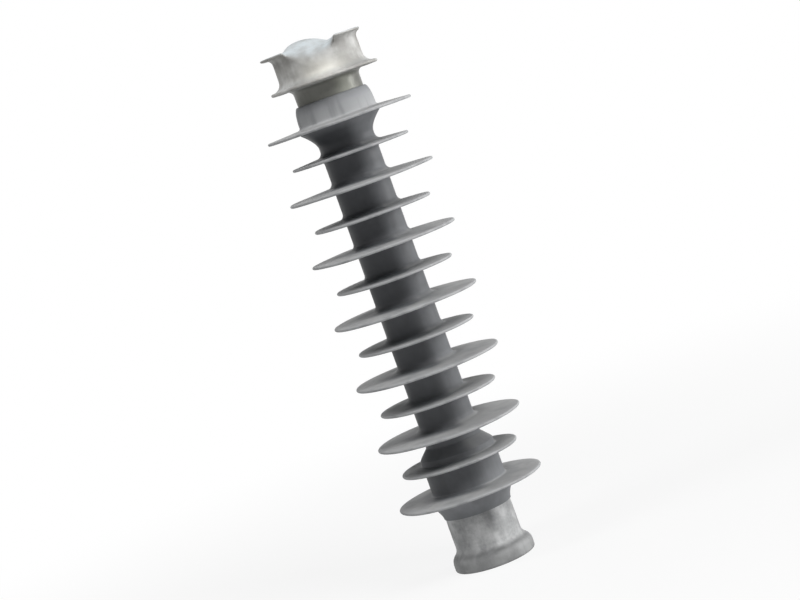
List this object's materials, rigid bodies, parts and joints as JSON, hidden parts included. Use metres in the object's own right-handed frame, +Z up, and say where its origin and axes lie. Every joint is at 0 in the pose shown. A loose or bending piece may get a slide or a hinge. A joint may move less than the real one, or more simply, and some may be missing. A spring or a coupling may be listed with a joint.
{
  "type": "composite line post insulator",
  "caption": "Upright composite post insulator with wide and narrow rubber sheds in turn, a tie-top metal head with saddle and ears, and a round metal foot tapped for a stud",
  "frame": {"origin": "centre of the foot ring's underside, on the insulator's axis, where it stands on the ground or on its mounting", "axes": "+Z up along the insulator's axis, from the foot to the tie-top head; +Y along the saddle; -X towards the wide ear, +X towards the ear that is trimmed flat"},
  "size_m": [0.15, 0.15, 0.5554],
  "materials": {
    "fitting_metal": "hot-dip galvanised casting, matte and slightly mottled",
    "housing_rubber": "smooth moulded grey silicone rubber",
    "rod_fibre": "pultruded glass-fibre rod, satin",
    "seal_rubber": "black moulded rubber"
  },
  "bodies": {
    "root": {"base_fitting": "fitting_metal", "base_seal_ring": "seal_rubber", "core_rod": "rod_fibre", "head_fitting": "fitting_metal", "head_seal_ring": "seal_rubber", "housing": "housing_rubber"}
  },
  "joints": []
}
